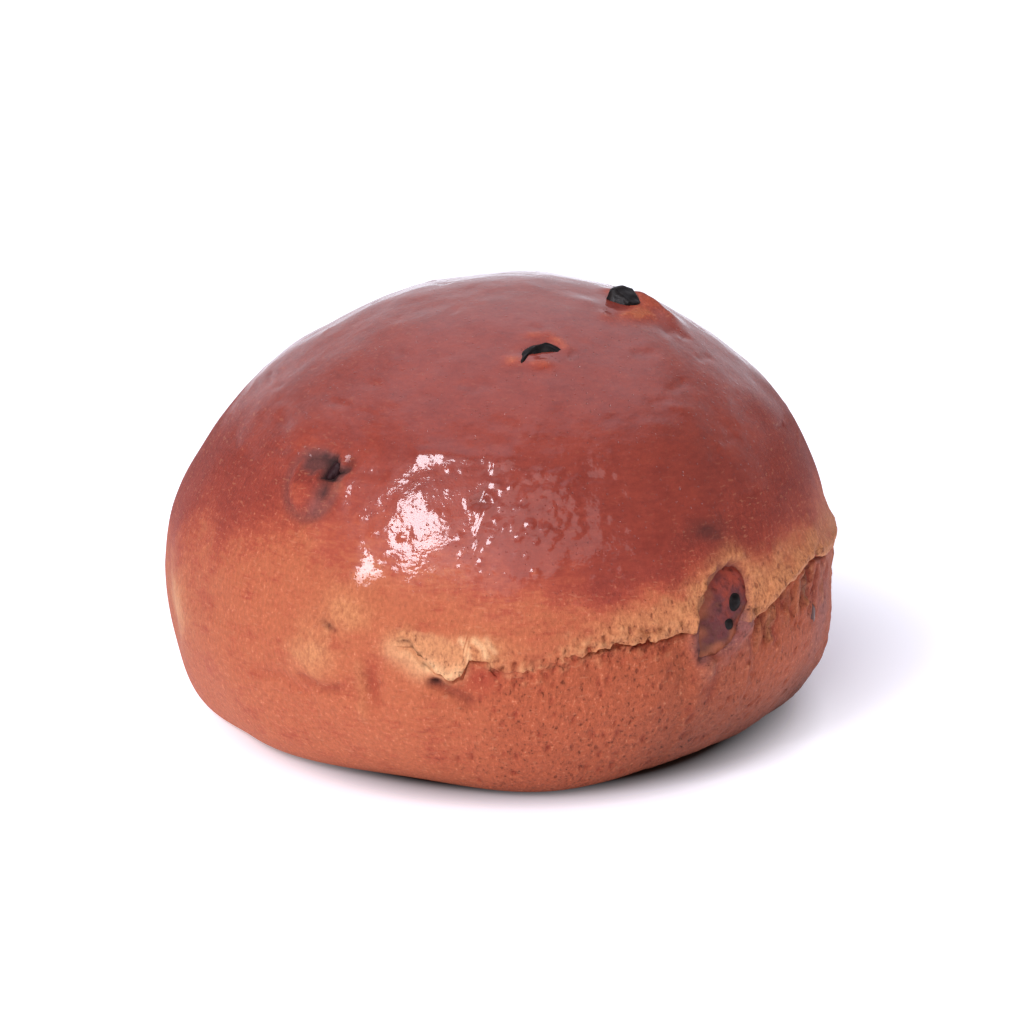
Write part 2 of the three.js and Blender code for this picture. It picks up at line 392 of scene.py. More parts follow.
masks = {
    "bake": ease(bakeHeight / around(crustBake["over"], azimuths)),
    "pale": onDome * around(paleBand["strength"], azimuths) * paleFade,
    "wall": onWall * around(tornWall["strength"], azimuths),
    "shade": onWall * around(tornWall["lowShade"], azimuths) * ease(shadeDepth / tornWall["shadeOver"]),
    "rosy": np.zeros(len(spots)),
    "mauve": np.zeros(len(spots)),
    "cream": np.zeros(len(spots)),
}
glazeHeight = heights + glaze["sway"] * coarse - around(glaze["from"], azimuths)
crown = ease((heights - glaze["crownFrom"]) / glaze["crownOver"])
masks["gloss"] = onDome * ease(glazeHeight / glaze["over"]) * (1 - masks["pale"])
masks["gloss"] *= mixed(around(glaze["share"], azimuths), 1, crown)
masks["pores"] = np.maximum(masks["pale"], masks["wall"])
relief = crustGrain["domeRise"] * coarse * onDome + crustGrain["glazeRise"] * medium * masks["gloss"]
poreRelief = (crustGrain["poreRise"][0] * medium + crustGrain["poreRise"][1] * fine) * masks["pores"]
relief += poreRelief + crustGrain["paleRise"] * fine * masks["pale"]


def spot(azimuth, height, wide, tall, **adds):  # an oval patch of the crust
    return {"spot": (azimuth, height), "size": (wide, tall), **adds}


def ring(azimuth, height, wide, tall, **adds):  # the rim of an oval
    return {"ring": (azimuth, height), "size": (wide, tall), **adds}


def path(*corners, **adds):  # a line over the crust
    return {"path": corners, **adds}


# Marks on the crust: where, how far they rise, and what they add to the masks
crustMarks = [
    # the ringed swelling at the left, with its hollow and crease
    spot(-132, 43, 12, 13, gloss=-1.1),
    ring(-132.5, 42.8, 8.6, 9.6, turn=10, width=0.17, rise=-0.4, shade=0.3, mauve=0.3),
    spot(-134.5, 41.8, 4.6, 5, rise=0.5, bake=-0.3),
    spot(-132, 45.4, 6.6, 3.8, turn=-14, edge=0.6, fray=0.5, rise=-0.8, shade=0.62, mauve=0.7, gloss=-0.5),
    spot(-129.8, 45.2, 2.4, 4.8, turn=8, edge=0.5, fray=0.4, rise=-0.7, shade=0.9, gloss=-1),
    path((-129.6, 44), (-128.8, 43.2), (-129, 42), width=0.9, rise=-0.5, shade=0.6, gloss=-1),
    path((-129, 42.2), (-129.8, 40), width=1.1, rise=-0.3, shade=0.2, mauve=0.6, gloss=-0.8),
    spot(-126, 46, 2.4, 2.8, rise=-0.4, shade=0.5, gloss=-1.2),
    spot(-126.5, 43.4, 3, 4.6, rise=0.25, bake=-0.5),
    spot(-139, 46.8, 9, 7, turn=30, bake=-0.5),
    # glazed ridges and blisters at the front
    path((-110, 48.2), (-104, 48.5), (-98, 48.6), (-92, 48.2), width=1.3, rise=0.34),
    spot(-117.2, 31.8, 8, 10, rise=0.55),
    spot(-115.2, 34.6, 6, 7, gloss=0.9),
    ring(-110, 38.3, 1.8, 1.8, width=0.3, rise=-0.07),
    spot(-110, 38.3, 1.1, 1.1, rise=0.16),
    spot(-96, 43.3, 4.2, 3, rise=-0.3, bake=0.5, shade=0.25),
    ring(-96, 43.1, 3.6, 2.4, width=0.25, rise=0.15),
    spot(-83.5, 39.8, 1.8, 1.6, rise=0.25),
    spot(-81.5, 39.2, 1.6, 1.8, rise=0.25),
    spot(-82.5, 37.9, 1.8, 1.4, rise=0.2),
    spot(-85, 34.6, 1.3, 1.3, rise=0.35, bake=-0.5),
    spot(-80.8, 40.6, 1.2, 0.9, rise=0.3, bake=-0.4),
    # the crust round the sliver and the chunk at the top
    spot(-83, 59.5, 8, 2.4, turn=12, rise=-0.4),
    spot(-82.5, 58, 5.4, 2.4, rise=0.6, bake=-0.6, gloss=-0.5),
    path((-84, 60.6), (-77, 60.6), (-72, 59.6), width=1.0, rise=0.2, bake=-0.7, gloss=-0.4),
    spot(-92.5, 58.4, 4, 3.4, rise=0.2, bake=-0.7, gloss=-0.4),
    path((1, 62.2), (-3, 61), (-9, 59.4), width=1.8, rise=0.4, bake=-0.55, gloss=-0.8),
    spot(-17, 60.8, 11, 5, rise=0.4, bake=-0.7, gloss=-0.8),
    spot(-36, 62.6, 6, 5, rise=0.4, bake=-0.2),
    path((-40, 61.3), (-28, 60.9), (-18, 60.2), width=1.5, rise=0.3, bake=-0.5, gloss=-0.6),
    # the pale flake and its crack, the red recess, the dark hole and its crease
    path((-108.4, 23.6), (-105.8, 22.4), (-103.8, 21), width=1.6, pale=0.6, cream=0.4, pores=-0.9),
    spot(-101.5, 23.6, 10, 5, turn=-12, edge=0.3, fray=0.25, pale=0.9, cream=0.15),
    path((-96, 24.6), (-91, 24.4), width=1.8, pale=0.8),
    path((-101.8, 21.6), (-98.6, 20.2), (-97, 21), width=1.0, cream=0.9),
    path((-97, 25.6), (-95.8, 24.4), (-95.2, 22.9), width=0.4, rise=0.25, cream=0.9),
    path((-94.6, 25.6), (-93, 24.6), (-92.4, 23.4), width=0.5, rise=0.25, cream=0.9),
    path((-92.6, 25.8), (-91, 24), width=0.4, rise=0.2, cream=0.6),
    path(
        (-107.4, 25.2), (-105.6, 24.8), (-104.8, 23.6), (-103.9, 23.3), (-103.2, 22), (-101.8, 21.6),
        width=0.28, rise=-0.5, shade=0.5,
    ),
    spot(-93, 20, 7, 5.5, rise=-0.5, rosy=0.9, pores=-0.9),
    spot(-101, 19.2, 2.4, 1.3, rise=-0.8, mauve=0.8, shade=0.6),
    path((-101, 19.2), (-97.5, 17.8), (-95, 16.7), width=0.8, rise=-0.6, rosy=0.6, shade=0.3),
    path((-108, 20.2), (-104, 19.6), (-101, 19.2), width=1.2, rise=-0.2),
    # the smooth lower left
    spot(-112.5, 18.4, 3.2, 9, rise=-0.5, rosy=0.85, shade=0.08),
    path((-114.4, 21), (-114.2, 17), (-114.4, 13), width=0.8, rise=0.2, pale=0.4),
    path((-125.5, 17.8), (-121, 16.4), (-118.5, 17), width=0.8, rise=-0.4, rosy=0.6, shade=0.12),
    path((-121.6, 26.4), (-120.6, 25.9), width=0.45, rise=-0.3, rosy=0.9, shade=0.4),
    path((-120.2, 25.8), (-119.2, 25.3), width=0.4, rise=-0.3, rosy=0.9, shade=0.4),
    spot(-117.5, 28.2, 9.5, 7.5, fray=0.2, pale=0.95, pores=-0.5),
    spot(-123, 22, 8.5, 8, fray=0.3, pale=0.95, cream=0.08, pores=-0.5),
    # partly painted light: the far left edge made paler where more light falls from the left, over a pale
    # ochre patch
    spot(-165, 19, 14, 10, fray=0.3, pale=0.9, cream=0.35, pores=-0.5),
    path((-136, 16.5), (-130, 17), (-125, 15.4), width=1.0, rise=-0.25, rosy=0.35),
    spot(-119, 23.8, 5, 2.2, turn=-20, rise=-0.2, rosy=0.5),
    # the torn right side: slits in the wall, a mauve strip, baked and shaded patches
    path(
        (-22.5, 29), (-24, 27.7), (-27.3, 25.9), (-26.6, 24.6), (-27.4, 22.8),
        width=0.75, rise=-1.1, rosy=0.9, shade=0.5,
    ),
    path((-24, 27), (-24.6, 24.6), (-24, 21), width=0.5, rise=-0.8, rosy=0.9, shade=0.45),
    path((-20.6, 26), (-21.8, 23), (-21.5, 20), width=0.5, rise=-0.6, rosy=0.8, shade=0.4),
    path((-34, 25.4), (-33, 23.4), width=0.5, rise=-0.6, rosy=0.9, shade=0.3),
    path((-39.8, 23.6), (-38.6, 21.6), (-39, 20), width=0.6, rise=-0.6, rosy=0.9, shade=0.3),
    path((-36.4, 22), (-36, 19), width=0.5, rise=-0.4, rosy=0.9, shade=0.2),
    path((-42.8, 25.4), (-42, 24), (-41.6, 22.6), width=0.5, rise=-0.8, rosy=0.9, shade=0.5),
    spot(-17, 20, 10, 22, mauve=0.7),
    spot(-51, 37.5, 9, 5, fray=0.3, bake=0.4, shade=0.6),
    spot(-72, 32, 14, 7, bake=0.6),
    spot(-52, 46, 36, 24, shade=0.14),
    spot(-52, 13, 26, 26, shade=0.22),
    # the pocket of the prune in the tear, its pale rim and the ridges of dough round its lower end
    path((-56, 27.5), (-52.5, 31), (-47, 33.6), (-43, 31), width=1.8, pale=0.7),
    spot(
        -50.2, 26.4, 8.4, 15, turn=-34, leaf=True, edge=0.25, fray=0.07,
        rise=-1.8, shade=0.3, pale=-1, mauve=0.6,
    ),
    spot(-46.5, 23.6, 9, 11, mauve=0.45, pale=-0.3),
    path((-54, 27.6), (-52.5, 30.2), (-48.5, 32.4), (-45, 33), width=0.8, rise=0.6, pale=0.5),
    path((-56.2, 26), (-55.6, 23.2), (-54, 20.8), (-53, 18.6), width=1.4, rise=1.1, mauve=0.4, pale=0.2),
    path((-43.2, 29), (-43.4, 26.6), (-44.4, 24.5), width=1.2, mauve=0.4),
    path((-45.4, 24.6), (-47.2, 22.8), (-49.8, 20.6), width=1.4, rise=1.0, mauve=0.4),
    spot(-58, 19.5, 8, 9, shade=0.12),
    path((-51.6, 19), (-51.4, 16.4), (-51.8, 13.6), width=0.7, rise=-0.3, rosy=0.6, shade=0.15),
    # the crust round the pieces at the back
    spot(62, 51, 9, 8, rise=0.9, bake=-0.55, gloss=-0.5),
    ring(62, 52, 5.6, 5, width=0.2, rise=-0.3, shade=0.2),
    spot(128, 37, 9, 10, bake=-0.3, gloss=-0.6),
    ring(128, 37, 8.6, 9.8, turn=-10, width=0.2, rise=-0.35, shade=0.15, bake=0.3),
    spot(128, 37, 5, 6.4, turn=20, edge=0.4, fray=0.2, rise=-0.7, shade=0.5),
]

# Small marks scattered by seeded draws, from least to most; fromTear gives the middle and the spread
brushMarks = {
    "height": (40, 62.5), "turn": (2, 6), "climb": (-0.5, 0.5), "rise": (-0.25, 0.12), "width": (0.4, 0.9),
    "bakeRate": -2,  # for each millimetre of rise
}
glazeBlisters = {"size": (0.6, 1.2), "height": (30, 52), "riseShare": 0.12}
glazeSparkles = {"size": (0.5, 0.9), "height": (38, 47), "wideShare": 1.5, "riseShare": 0.25}
tearPits = {"fromTear": (0, 1.1), "size": (0.5, 1.0), "tallShare": 1.3}
tearCrumbs = {"fromTear": (0.4, 1.2), "size": (0.3, 1.1), "wideShare": 1.3}
wallStrands = {"belowTear": (0.3, 2.5), "sway": (-0.8, 0.8), "length": (1.5, 5), "raisedShare": 0.5}
wallPores = {"size": (0.4, 1.0), "height": (3, 23), "tallShare": 1.8}


def tearAt(azimuth):
    return float(around(bunForm["tear"], azimuth))


def brushMark(azimuth, random):  # a short wrinkle left by the glazing brush
    height = random.uniform(*brushMarks["height"])
    end = (azimuth + random.uniform(*brushMarks["turn"]), height + random.uniform(*brushMarks["climb"]))
    rise = random.uniform(*brushMarks["rise"])
    width = random.uniform(*brushMarks["width"])
    return path((azimuth, height), end, width=width, rise=rise, bake=brushMarks["bakeRate"] * rise)


def glazeBlister(azimuth, random):
    size = random.uniform(*glazeBlisters["size"])
    height = random.uniform(*glazeBlisters["height"])
    return spot(azimuth, height, size, size, rise=glazeBlisters["riseShare"] * size)


def glazeSparkle(azimuth, random):  # a small bump that catches the light
    size = random.uniform(*glazeSparkles["size"])
    height = random.uniform(*glazeSparkles["height"])
    wide = glazeSparkles["wideShare"] * size
    return spot(azimuth, height, wide, size, rise=glazeSparkles["riseShare"] * size)


def tearPit(azimuth, random):  # a pit along the torn edge
    height = tearAt(azimuth) + random.normal(*tearPits["fromTear"])
    size = random.uniform(*tearPits["size"])
    return spot(azimuth, height, size, size * tearPits["tallShare"], rise=-0.4, rosy=0.6, shade=0.1)


def tearCrumb(azimuth, random):  # a pale crumb that stands out of the torn edge
    height = tearAt(azimuth) + random.normal(*tearCrumbs["fromTear"])
    size = random.uniform(*tearCrumbs["size"])
    return spot(azimuth, height, size * tearCrumbs["wideShare"], size, rise=0.15, pale=0.25, cream=0.1)


def wallStrand(azimuth, random):  # a string of dough under the lifted lip, or a gap between two
    top = tearAt(azimuth) - random.uniform(*wallStrands["belowTear"])
    foot = (azimuth + random.uniform(*wallStrands["sway"]), top - random.uniform(*wallStrands["length"]))
    if random.uniform() < wallStrands["raisedShare"]:
        return path((azimuth, top), foot, width=0.4, rise=0.3, pale=0.35)
    return path((azimuth, top), foot, width=0.35, rise=-0.5, rosy=0.8, shade=0.2)


def wallPore(azimuth, random):
    size = random.uniform(*wallPores["size"])
    height = random.uniform(*wallPores["height"])
    return spot(azimuth, height, size, wallPores["tallShare"] * size, rise=-0.35, rosy=0.8, shade=0.15)


def scatter(makeMark, count, seed, between):
    random = np.random.default_rng(seed)
    for azimuth in random.uniform(*between, count):
        crustMarks.append(makeMark(azimuth, random))


scatter(brushMark, count=90, seed=3, between=(-175, 10))
scatter(brushMark, count=90, seed=5, between=(10, 185))
scatter(glazeBlister, count=170, seed=7, between=(-125, -65))
scatter(tearPit, count=150, seed=9, between=(-92, -57))
scatter(tearCrumb, count=160, seed=17, between=(-92, -57))
scatter(glazeSparkle, count=110, seed=19, between=(-97, -76))
scatter(wallStrand, count=40, seed=21, between=(-43, -17))
scatter(wallStrand, count=60, seed=23, between=(-17, 105))
scatter(wallPore, count=160, seed=13, between=(-98, -5))
scatter(wallPore, count=120, seed=15, between=(-5, 120))

# How far off a mark is still felt, in widths of its path or sizes of its oval, and an oval's soft fade
markReach = {"path": 3, "oval": 1.5, "soft": 0.75}


def markWeight(mark):  # the vertices that a mark reaches, and how strongly
    places = mark.get("path", [mark.get("spot", mark.get("ring"))])
    corners = np.array([withSwellings(plainPoint(*place)) for place in places])
    reach = markReach["path"] * mark["width"] if "path" in mark else markReach["oval"] * max(mark["size"])
    low, high = corners.min(axis=0) - reach, corners.max(axis=0) + reach
    near = np.flatnonzero(((spots > low) & (spots < high)).all(axis=1))
    if "path" in mark:
        return near, bell(pathAway(spots[near], corners), mark["width"])
    away = ovalAway(spots[near], places[0], mark["size"], mark.get("turn", 0), mark.get("leaf", False))
    away += mark.get("fray", 0) * (fine + medium)[near]
    if "ring" in mark:
        return near, bell(away - 1, mark["width"])
    if "edge" in mark:
        return near, ease((1 - away) / mark["edge"] + 0.5)
    return near, bell(away, markReach["soft"])


for mark in crustMarks:
    near, weight = markWeight(mark)
    relief[near] += mark.get("rise", 0) * weight
    for name in masks:
        if name in mark:
            masks[name][near] += mark[name] * weight
masks = {name: np.clip(mask, 0, 1) for name, mask in masks.items()}
print("crust painted with", len(crustMarks), "marks")


def readPoints(mesh):
    points = np.empty(len(mesh.vertices) * 3)
    mesh.vertices.foreach_get("co", points)
    return points.reshape(-1, 3)


def shapeMesh(mesh, points, layers):  # each vertex's place, and its value in each mask
    mesh.vertices.foreach_set("co", (points * mm).ravel())
    for name, values in layers.items():
        layer = mesh.attributes.new(name, "FLOAT", "POINT")
        layer.data.foreach_set("value", values.astype(np.float32))
    mesh.polygons.foreach_set("use_smooth", np.ones(len(mesh.polygons), bool))
    mesh.update()


def addPiece(mesh, node):
    piece = bpy.data.objects.new(mesh.name, mesh)
    bpy.context.scene.collection.objects.link(piece)
    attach(piece, "root")
    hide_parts(node)
    return piece


def makeBun():
    columns, rowSteps, half = bunMesh["columns"], len(grid) - 1, 0.5
    bm = bmesh.new()
    bmesh.ops.create_grid(bm, x_segments=columns, y_segments=rowSteps, size=half)
    mesh = bpy.data.meshes.new("bunCrust")
    bm.to_mesh(mesh)
    sheet = readPoints(mesh)
    column = np.rint((sheet[:, 0] + half) * columns).astype(int) % columns
    row = np.rint((half - sheet[:, 1]) * rowSteps).astype(int)
    index = row * columns + column
    lift = relief * ease(heights / crustGrain["riseFrom"])
    raised = spots + gridNormals(grid).reshape(-1, 3) * lift[:, None]
    shapeMesh(mesh, raised[index], {name: mask[index] for name, mask in masks.items()})
    # the sheet closes on itself at its two side edges, the apex and the middle of the base
    bm.clear()
    bm.from_mesh(mesh)
    edge = [vert for vert in bm.verts if vert.is_boundary]
    bmesh.ops.remove_doubles(bm, verts=edge, dist=bunMesh["mergeWithin"])
    bm.to_mesh(mesh)
    bm.free()
    mesh.update()
    return addPiece(mesh, "bun")


def addNode(tree, kind, inputs=None, **settings):
    node = tree.nodes.new(kind)
    for name, value in settings.items():
        setattr(node, name, value)
    for socket, value in (inputs or {}).items():
        if isinstance(value, bpy.types.NodeSocket):
            tree.links.new(value, node.inputs[socket])
        else:
            node.inputs[socket].default_value = value
    return node


def mathNode(tree, operation, first, second=0.0, third=0.0, clamp=False):
    inputs = {0: first, 1: second, 2: third}
    return addNode(tree, "ShaderNodeMath", inputs, operation=operation, use_clamp=clamp).outputs[0]


def mixColour(tree, share, first, second):
    inputs = {0: share, 6: first, 7: second}  # by number, because its float sockets have the same names
    return addNode(tree, "ShaderNodeMix", inputs, data_type="RGBA").outputs[2]


def readMask(tree, name):
    return addNode(tree, "ShaderNodeAttribute", attribute_name=name).outputs["Fac"]


def spanNode(tree, value, fromMin, fromMax, toMin=0.0, toMax=1.0):
    inputs = {"Value": value, "From Min": fromMin, "From Max": fromMax, "To Min": toMin, "To Max": toMax}
    return addNode(tree, "ShaderNodeMapRange", inputs).outputs[0]


def stretched(tree, vector, axes):  # less than 1 draws a pattern out along that axis
    return addNode(tree, "ShaderNodeMapping", {"Vector": vector, "Scale": axes}).outputs[0]


def noiseNode(tree, vector, scale, detail, roughness=0.55, axes=(1, 1, 1)):
    vector = stretched(tree, vector, axes)
    inputs = {"Vector": vector, "Scale": scale, "Detail": detail, "Roughness": roughness}
    return addNode(tree, "ShaderNodeTexNoise", inputs).outputs["Fac"]


def swing(tree, value, reach, usual=(0.2, 0.8)):  # noise turned to a swing either side of nothing
    return spanNode(tree, value, *usual, -reach, reach)


# Small pits of several sizes in some of the cells
def pitNode(tree, vector, scale, rarity=0.55, axes=(1, 1, 1), widest=0.3, steepness=7.0):
    vector = stretched(tree, vector, axes)
    cells = addNode(tree, "ShaderNodeTexVoronoi", {"Vector": vector, "Scale": scale})
    chance = addNode(tree, "ShaderNodeSeparateColor", {0: cells.outputs["Color"]}).outputs[0]
    reach = spanNode(tree, chance, rarity, 1, 0, widest)
    depth = mathNode(tree, "SUBTRACT", reach, cells.outputs["Distance"])
    return mathNode(tree, "MULTIPLY", depth, steepness, clamp=True)


def rampNode(tree, value, stops):
    ramp = addNode(tree, "ShaderNodeValToRGB", {"Fac": value})
    elements = ramp.color_ramp.elements
    for at, colour in stops:
        if at in (0, 1):  # the ramp has a stop at each end from the start
            element = elements[0 if at == 0 else -1]
        else:
            element = elements.new(at)
        element.position, element.color = at, colour
    return ramp.outputs["Color"]


def bumpNode(tree, height, rise, under=None):
    inputs = {"Height": height, "Strength": 1.0, "Distance": rise * mm}
    if under is not None:
        inputs["Normal"] = under
    return addNode(tree, "ShaderNodeBump", inputs).outputs[0]


def distanceNode(tree, vector, centre):
    node = addNode(tree, "ShaderNodeVectorMath", {0: vector, 1: centre}, operation="DISTANCE")
    return node.outputs["Value"]


def newMaterial(name):
    material = bpy.data.materials.new(name)
    material.use_nodes = True
    tree = material.node_tree
    coordinates = addNode(tree, "ShaderNodeTexCoord").outputs["Object"]
    millimetres = stretched(tree, coordinates, (1 / mm, 1 / mm, 1 / mm))
    return material, tree, tree.nodes["Principled BSDF"], millimetres


def dressShader(tree, shader, colour, roughness, specular, bump):
    tree.links.new(colour, shader.inputs["Base Color"])
    tree.links.new(roughness, shader.inputs["Roughness"])
    shader.inputs["Specular IOR Level"].default_value = specular
    tree.links.new(bump, shader.inputs["Normal"])


# Colours and finish of the crust; a span gives what is read, low and high, and what that becomes
crustLook = {
    "bakes": [
        (0.0, (0.48, 0.125, 0.052, 1)),
        (0.24, (0.40, 0.075, 0.035, 1)),
        (0.52, (0.31, 0.046, 0.024, 1)),
        (0.8, (0.26, 0.036, 0.02, 1)),
        (1.0, (0.22, 0.028, 0.016, 1)),
    ],
    "bakeShare": 0.8,
    "bakeSwings": {"mottle": 0.2, "patch": 0.22, "streak": 0.12},
    "wall": (0.415, 0.092, 0.037, 1),
    "mauve": (0.30, 0.105, 0.09, 1),
    "rosy": (0.38, 0.06, 0.028, 1),
    "pale": (0.56, 0.22, 0.088, 1),
    "paleSpan": (0.35, 0.55, 0.45, 1),
    "cream": (0.82, 0.46, 0.23, 1),
    "tintSpan": (0, 1, 0.2, 0.34),
    "tintLeast": 0.12,
    "fleck": (0.66, 0.28, 0.145, 1),
    "fleckSpan": (0.61, 0.69, 0, 0.7),
    "fleckOnBake": (0.2, 1, 1, 0.35),
    "dashSpan": (0.64, 0.72, 0, 0.24),
    "dashOnGloss": (0.3, 1, 1, 0.2),
    "slitSpan": (0.38, 0.28, 0, 0.8),
    "pore": (0.2, 0.03, 0.012, 1),
    "poreShare": 0.6,
    "shade": (0.03, 0.012, 0.011, 1),
    "roughSpan": (0, 1, 0.65, 0.4),
    "specular": 0.25,
    "coatRoughness": 0.06,
    "coatIor": 1.42,
    "streakRise": 0.4,
    "skinShare": 0.5,
    "wrinkleRise": 0.18,
    "blisterRise": 0.3,
    "finePitDrop": 0.6,
    "skinBump": 0.12,
    "tornBump": 0.22,
}
crustNoises = {
    "mottle": {"scale": 0.2, "detail": 4},
    "grain": {"scale": 0.7, "detail": 2, "roughness": 0.5},
    "fibre": {"scale": 2.1, "detail": 5, "roughness": 0.7, "axes": (1, 1, 0.6)},
    "streak": {"scale": 0.8, "detail": 3, "axes": (0.3, 0.3, 1)},
    "wrinkle": {"scale": 2.4, "detail": 2, "axes": (0.7, 0.7, 1)},
    "patch": {"scale": 1.5, "detail": 4, "roughness": 0.65, "axes": (0.4, 0.4, 1.3)},
    "dash": {"scale": 1.8, "detail": 1, "axes": (0.5, 0.5, 1.4)},
}
crustPits = {
    "pit": {"scale": 0.9, "rarity": 0.72, "axes": (1, 1, 0.5)},
    "finePit": {"scale": 1.9},
    "blister": {"scale": 1.3, "axes": (0.8, 1, 1)},
}


def crustMaterial():
    look = crustLook
    material, tree, shader, place = newMaterial("bakedCrust")
    noises = {name: noiseNode(tree, place, **settings) for name, settings in crustNoises.items()}
    pits = {name: pitNode(tree, place, **settings) for name, settings in crustPits.items()}
    fibre, streak = noises["fibre"], noises["streak"]
    gloss, pores, bake = (readMask(tree, name) for name in ("gloss", "pores", "bake"))
    matte = mathNode(tree, "SUBTRACT", 1.0, gloss)
    slit = spanNode(tree, fibre, *look["slitSpan"])
    poreDepth = mathNode(tree, "MULTIPLY", mathNode(tree, "MAXIMUM", pits["pit"], slit), pores)
    # baked skin, from orange to mahogany
    baked = mathNode(tree, "MULTIPLY", bake, look["bakeShare"])
    for name, reach in look["bakeSwings"].items():
        baked = mathNode(tree, "ADD", baked, swing(tree, noises[name], reach))
    colour = rampNode(tree, baked, look["bakes"])
    for name in ("wall", "mauve", "rosy"):
        colour = mixColour(tree, readMask(tree, name), colour, look[name])
    crumb = mathNode(tree, "MULTIPLY", readMask(tree, "pale"), spanNode(tree, fibre, *look["paleSpan"]))
    colour = mixColour(tree, crumb, colour, look["pale"])
    colour = mixColour(tree, readMask(tree, "cream"), colour, look["cream"])
    # fibres lighter and darker, most of all on the torn wall
    tintReach = mathNode(tree, "MULTIPLY", matte, spanNode(tree, pores, *look["tintSpan"]))
    tintReach = mathNode(tree, "ADD", tintReach, look["tintLeast"])
    tint = mathNode(tree, "MULTIPLY_ADD", swing(tree, fibre, 1.0), tintReach, 1.0)
    colour = addNode(tree, "ShaderNodeHueSaturation", {"Value": tint, "Color": colour}).outputs[0]
    # pale flecks and dashes; pores and slits darkened, partly their own red-brown and partly painted shade
    # in them; then painted shade
    fleck = mathNode(tree, "MULTIPLY", spanNode(tree, fibre, *look["fleckSpan"]), matte)
    fleck = mathNode(tree, "MULTIPLY", fleck, spanNode(tree, bake, *look["fleckOnBake"]))
    dash = spanNode(tree, noises["dash"], *look["dashSpan"])
    dash = mathNode(tree, "MULTIPLY", dash, spanNode(tree, gloss, *look["dashOnGloss"]))
    colour = mixColour(tree, mathNode(tree, "MAXIMUM", fleck, dash), colour, look["fleck"])
    colour = mixColour(tree, mathNode(tree, "MULTIPLY", poreDepth, look["poreShare"]), colour, look["pore"])
    colour = mixColour(tree, readMask(tree, "shade"), colour, look["shade"])
    # glossy blistered skin above, fibres and pores below
    skin = mathNode(tree, "ADD", noises["grain"], mathNode(tree, "MULTIPLY", streak, look["streakRise"]))
    skin = mathNode(tree, "MULTIPLY", skin, look["skinShare"])
    skin = mathNode(tree, "ADD", skin, mathNode(tree, "MULTIPLY", noises["wrinkle"], look["wrinkleRise"]))
    dimple = mathNode(tree, "MULTIPLY", pits["blister"], look["blisterRise"])
    finePit = mathNode(tree, "MULTIPLY", pits["finePit"], look["finePitDrop"])
    dimple = mathNode(tree, "SUBTRACT", dimple, finePit)
    skinBump = bumpNode(tree, mathNode(tree, "ADD", skin, dimple), look["skinBump"])
    torn = mathNode(tree, "SUBTRACT", mathNode(tree, "MULTIPLY", fibre, matte), poreDepth)
    tornBump = bumpNode(tree, torn, look["tornBump"], skinBump)
    dressShader(tree, shader, colour, spanNode(tree, gloss, *look["roughSpan"]), look["specular"], tornBump)
    tree.links.new(gloss, shader.inputs["Coat Weight"])
    shader.inputs["Coat Roughness"].default_value = look["coatRoughness"]
    shader.inputs["Coat IOR"].default_value = look["coatIor"]
    tree.links.new(skinBump, shader.inputs["Coat Normal"])
    return material


bun = makeBun()
bun.data.materials.append(crustMaterial())
print("bun:", len(bun.data.polygons), "faces")

# Flat faces of broken chocolate: the way each one looks, and how far out it cuts
chunkFacets = [
    ((-0.3, -0.25, 0.9), 0.8), ((-0.88, 0.3, 0.38), 0.86), ((0.1, 0.97, 0.2), 0.9), ((0.75, 0.2, 0.6), 0.88),
    ((0.25, -0.75, 0.6), 0.88),
]
sliverFacets = [
    ((0, -0.6, 0.8), 0.7), ((0.35, -0.4, 0.85), 0.72), ((-0.4, 0.3, 0.86), 0.74), ((0.1, 0.8, 0.6), 0.8),
]

